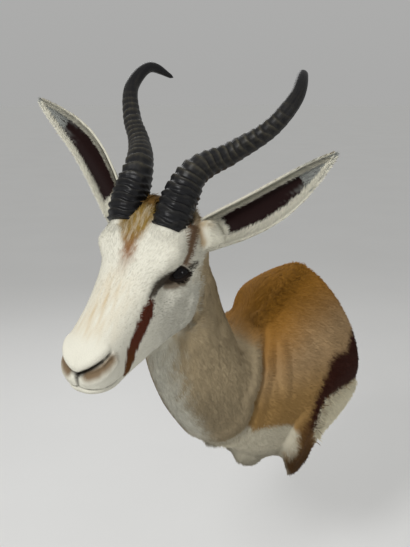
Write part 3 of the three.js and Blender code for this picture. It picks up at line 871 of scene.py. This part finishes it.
def hair_mesh(name, roots, normals, ways, lengths, widths, lifts, colours, random, root_shade=0.8):
    count = len(roots)
    side = np.cross(normals, ways)
    side = side + normals * random.normal(0, 0.25, (count, 1))
    side = side / np.linalg.norm(side, axis=1)[:, None] * widths[:, None]
    start = roots - normals * HAIR_ROOT
    up = np.sin(lifts)[:, None] * normals
    flat = np.cos(lifts)[:, None] * ways
    middle = start + (flat + up) * lengths[:, None] * 0.55
    tip = start + (flat + 0.6 * up) * lengths[:, None]
    foot = [start + side / 2, start - side / 2]
    waist = [middle - 0.4 * side, middle + 0.4 * side]
    corners = np.stack([*foot, *waist, tip], axis=1)
    corners[:, :, 1] = np.minimum(corners[:, :, 1], WALL_CLEAR)
    mesh = bpy.data.meshes.new(name)
    mesh.vertices.add(count * 5)
    mesh.vertices.foreach_set("co", corners.ravel())
    loops = np.arange(count)[:, None] * 5 + np.array([0, 1, 2, 3, 3, 2, 4])
    mesh.loops.add(count * 7)
    mesh.loops.foreach_set("vertex_index", loops.ravel().astype(np.int32))
    mesh.polygons.add(count * 2)
    starts = np.arange(count)[:, None] * 7 + np.array([0, 4])
    mesh.polygons.foreach_set("loop_start", starts.ravel().astype(np.int32))
    mesh.update(calc_edges=True)
    shade = np.array([root_shade, root_shade, 1, 1, 1.1])
    tones = np.clip(colours[:, None, :] * shade[:, None], 0, 0.95).reshape(-1, 3)
    set_colours(mesh, tones)
    cells = np.arange(count)
    base = np.stack([cells % UV_CELLS, cells // UV_CELLS], axis=1)[:, None, :]
    inside = np.array([[0.2, 0.1], [0.8, 0.1], [0.8, 0.5], [0.2, 0.5], [0.2, 0.5], [0.8, 0.5], [0.5, 0.9]])
    uv = mesh.uv_layers.new(name="OFBake")
    uv.uv.foreach_set("vector", ((base + inside) / UV_CELLS).ravel().astype(np.float32))
    leaning = normals + 0.25 * ways + random.normal(0, 0.08, (count, 3))
    leaning = leaning / np.linalg.norm(leaning, axis=1)[:, None]
    mesh.shade_smooth()
    mesh.normals_split_custom_set_from_vertices(np.repeat(leaning, 5, axis=0).tolist())
    return mesh


coat_hair, shader = coat_material("coat_hair", 0.6, 300, 0.2 * MM)
shader.inputs["Specular IOR Level"].default_value = 0.03


def bare(places):
    """Where no hair grows: inside the eye, the nostril and the mouth."""
    head = to_head(places)
    face = both_sides(head)
    hidden = lid_distance(head)[0] < 2 * MM
    hidden |= along(face, NOSTRIL)[0] < 2.6 * MM
    hidden |= along(face, MOUTH)[0] < 1.8 * MM
    return hidden | (places[:, 1] > -4 * MM)


def grow_coat(name, count, seed, weight, length_of, width, lift, clump=0.1, root_shade=0.8, flow=coat_flow):
    random = np.random.default_rng(seed)
    roots, normals, rest = surface_samples(hide_mesh, count, random, weight)
    keep = ~bare(rest)
    roots, normals, rest = roots[keep], normals[keep], rest[keep]
    ways = flow(roots, normals) + random.normal(0, 0.16, roots.shape)
    ways = ways + clump * np.stack([ripple(roots, 14 * MM, seed + axis) for axis in range(3)], axis=1)
    ways = ways - normals * (ways * normals).sum(axis=1)[:, None]
    ways = ways / np.linalg.norm(ways, axis=1)[:, None]
    lengths = length_of(roots) * random.uniform(0.7, 1.2, len(roots))
    widths = width * random.uniform(0.7, 1.3, len(roots))
    lifts = np.radians(lift) * random.uniform(0.5, 1.5, len(roots))
    colours = coat_colour(rest) * random.normal(1, 0.06, (len(roots), 1))
    mesh = hair_mesh(name, roots, normals, ways, lengths, widths, lifts, colours, random, root_shade)
    add_piece(name, mesh, coat_hair, "hide", "cape")


def on_face(places):
    head = to_head(places)
    return (1 - smooth(head[:, 1], 30 * MM, 50 * MM)) * smooth(head[:, 2], -90 * MM, -76 * MM)


def on_neck(places):
    return (1 - on_face(places)) * smooth(-places[:, 1], 130 * MM, 170 * MM)


def on_shoulder(places):
    return (1 - on_face(places)) * (1 - smooth(-places[:, 1], 150 * MM, 190 * MM)) * (places[:, 1] < -4 * MM)


def face_length(places):
    head = to_head(places)
    stations = np.array([-150, -110, -40, 20, 60]) * MM
    return np.interp(head[:, 1], stations, np.array([2.4, 3.8, 5.8, 8, 10]) * MM)


def even(length):
    """A coat of one length all over."""
    return lambda places: np.full(len(places), length)


def shoulder_length(places):
    top = np.interp(places[:, 1], SADDLE_TOP[:, 0], SADDLE_TOP[:, 1])
    crest = smooth(places[:, 2] - top, -18 * MM, -4 * MM)
    belly = smooth(-within(both_sides(places)[:, 1:], BELLY), 0, 10 * MM)
    return 9 * MM + 6 * MM * crest + 9 * MM * belly


grow_coat("coat_face", HAIRS_A_PIECE, 41, on_face, face_length, 0.65 * MM, 9, 0.06, 0.96)
grow_coat("coat_neck", HAIRS_A_PIECE, 42, on_neck, even(9.5 * MM), 0.8 * MM, 7, 0.06, 0.93)
grow_coat("coat_shoulder", HAIRS_A_PIECE, 43, on_shoulder, shoulder_length, 0.9 * MM, 8, 0.08, 0.9)


# Ear hair: pale fringes along both edges of each ear, grey wisps at the tip and short fawn hair behind.
# It grows from the ear's skin and hangs a little past the edge, so the ear's outline is soft.
def unit(ways):
    return ways / np.maximum(np.linalg.norm(ways, axis=1), 1e-9)[:, None]


def fringe(name, random, count, shares, spans, front, ways, length, lift, colour):
    """Hair on one band of an ear: where it grows, the way it lies across and along, and its look."""
    axis, face, across = ear_axes(name)
    share = random.uniform(*shares, count)
    span = random.uniform(*spans, count) * UPPER_EDGE[name]
    half = ear_half(name, share, span)
    depth = np.interp(share, EAR_SHARES, EAR_DEPTH)
    out = front * unit(face * half[:, None] - across * (2 * depth * span)[:, None]) @ HEAD_AXES.T
    roots = ear_places(name, share, span)[0] + out * EAR_WALL / 2
    inward = -across * UPPER_EDGE[name]
    way = ways[0] * inward + ways[1] * axis
    way = unit(np.tile(HEAD_AXES @ way, (count, 1)) + random.normal(0, 0.22, (count, 3)))
    way = unit(way - out * (way * out).sum(axis=1)[:, None])
    lengths = length * random.uniform(0.6, 1.2, count)
    lifts = np.radians(lift) * random.uniform(0.3, 1.6, count)
    colours = np.array(colour) * random.normal(1, 0.1, (count, 1))
    return roots, out, way, lengths, lifts, colours


random = np.random.default_rng(51)
bands = []
for name in EAR_RIBS:
    lower = (-1.0, -LOWER_BAND[name])
    bands += [
        fringe(name, random, 3000, (0.06, 0.95), (0.8, 1.0), 1, (0.7, 0.7), 8 * MM, 30, EAR_EDGE),
        fringe(name, random, 3000, (0.06, 0.97), lower, 1, (-0.7, 0.7), 8 * MM, 22, EAR_EDGE),
        fringe(name, random, 1500, (0.06, 0.99), (0.93, 1.0), 1, (-0.6, 0.8), 4.5 * MM, 5, EAR_EDGE),
        fringe(name, random, 1500, (0.06, 0.99), (-1.0, -0.93), 1, (0.6, 0.8), 4.5 * MM, 5, EAR_EDGE),
        fringe(name, random, 1000, (0.74, 0.99), (-1, 1), 1, (0, 1), 7 * MM, 14, EAR_TIP),
        fringe(name, random, 1800, (0.03, 0.16), (-0.95, 0.95), 1, (0, 1), 9 * MM, 20, EAR_EDGE),
        fringe(name, random, 6000, (0.06, 0.98), (-1, 1), -1, (0, 1), 5 * MM, 12, EAR_BACK),
    ]
roots, normals, ways, lengths, lifts, colours = (np.concatenate(parts) for parts in zip(*bands))
widths = 0.5 * MM * random.uniform(0.7, 1.3, len(roots))
mesh = hair_mesh("coat_ears", roots, normals, ways, lengths, widths, lifts, colours, random)
add_piece("coat_ears", mesh, coat_hair, "hide", "cape")


# Longer hair: the shaggy belly, the ruffled ridge left of the back and the tufts round the horn roots.
# It grows from the hide like the rest of the coat and stands further off it.
def on_belly(places):
    inside = smooth(-within(both_sides(places)[:, 1:], BELLY), -2 * MM, 8 * MM)
    return inside * (np.abs(places[:, 0]) > 40 * MM)


def on_ridge(places):
    return np.exp(-((along(places, RIDGE)[0] / (7 * MM)) ** 2))


def on_horn_root(places):
    face = both_sides(to_head(places))
    distance = along(face, HORN_LINE[:3])[0]
    ring = smooth(distance, 14 * MM, 18 * MM) * (1 - smooth(distance, 20 * MM, 24 * MM))
    return ring * (face[:, 2] > 46 * MM)


def up_horn(places, normals):
    return unit(np.tile(HEAD_AXES @ np.array([0.05, 0.45, 0.9]), (len(places), 1)))


grow_coat("coat_belly", 16000, 44, on_belly, even(21 * MM), 1.1 * MM, 18, 0.3, 0.95)
grow_coat("coat_ridge", 6000, 45, on_ridge, even(12 * MM), 0.8 * MM, 40, 0.7)
grow_coat("coat_horn_root", 7000, 46, on_horn_root, even(6 * MM), 0.7 * MM, 14, 0.2, 1, up_horn)


# Studio: a pale floor well below the mount, a soft key above the camera's left, a fill and a rim light.
# The camera stands where the photograph was taken, to the animal's left, a little above it.
FLOOR_Z = -0.42
FLOOR_RADIUS = 30
FLOOR_DULL = (0.80, 0.80, 0.79, 1)
FLOOR_PALE = (0.84, 0.84, 0.83, 1)
SKY_LOW = (0.40, 0.40, 0.395, 1)
SKY_HIGH = (0.53, 0.53, 0.525, 1)
CAMERA_AT = Vector((0.6082, -0.9451, 0.3981))
CAMERA_AZIMUTH = np.radians(40)
CAMERA_ELEVATION = np.radians(14)
LENS_MM = 50.02
SENSOR_MM = 36
LOOK_AT = Vector((0.03, -0.23, 0.1))

bm = bmesh.new()
level = Matrix.Translation((0, 0, FLOOR_Z))
bmesh.ops.create_circle(bm, cap_ends=True, segments=96, radius=FLOOR_RADIUS, matrix=level)
mesh = bpy.data.meshes.new("floor")
bm.to_mesh(mesh)
bm.free()
floor_paint, tree, shader = new_material("floor_paint", 0.7)
shader.inputs["Specular IOR Level"].default_value = 0
mottle = noise_on(tree, object_place(tree), 3, 2)
tree.links.new(ramp_on(tree, mottle, [(0, FLOOR_DULL), (1, FLOOR_PALE)]), shader.inputs["Base Color"])
mesh.materials.append(floor_paint)
floor = bpy.data.objects.new("floor", mesh)
bpy.context.scene.collection.objects.link(floor)

for name, place, size, power in [
    ("key", (0.30, -1.40, 0.90), 0.32, 11.8),
    ("fill", (1.6, -0.30, 0.50), 0.35, 1.5),
    ("rim", (-1.1, 0.5, 1.0), 0.9, 6),
]:
    light = bpy.data.lights.new(name, "AREA")
    light.shape = "DISK"
    light.size = size
    light.energy = power
    lamp = bpy.data.objects.new(name, light)
    lamp.location = place
    lamp.rotation_euler = (LOOK_AT - Vector(place)).to_track_quat("-Z", "Y").to_euler()
    bpy.context.scene.collection.objects.link(lamp)
world = bpy.data.worlds.new("studio")
world.use_nodes = True
tree = world.node_tree
height = tree.nodes.new("ShaderNodeSeparateXYZ")
tree.links.new(tree.nodes.new("ShaderNodeTexCoord").outputs["Generated"], height.inputs["Vector"])
sky = ramp_on(tree, height.outputs["Z"], [(0, SKY_LOW), (1, SKY_HIGH)])
tree.links.new(sky, tree.nodes["Background"].inputs["Color"])
bpy.context.scene.world = world
bpy.context.scene.view_settings.view_transform = "Standard"

camera = bpy.data.cameras.new("camera")
camera.lens = LENS_MM
camera.sensor_width = SENSOR_MM
camera.sensor_fit = "AUTO"
viewer = bpy.data.objects.new("camera", camera)
viewer.location = CAMERA_AT
viewer.rotation_euler = (np.pi / 2 - CAMERA_ELEVATION, 0, CAMERA_AZIMUTH)
bpy.context.scene.collection.objects.link(viewer)
bpy.context.scene.camera = viewer
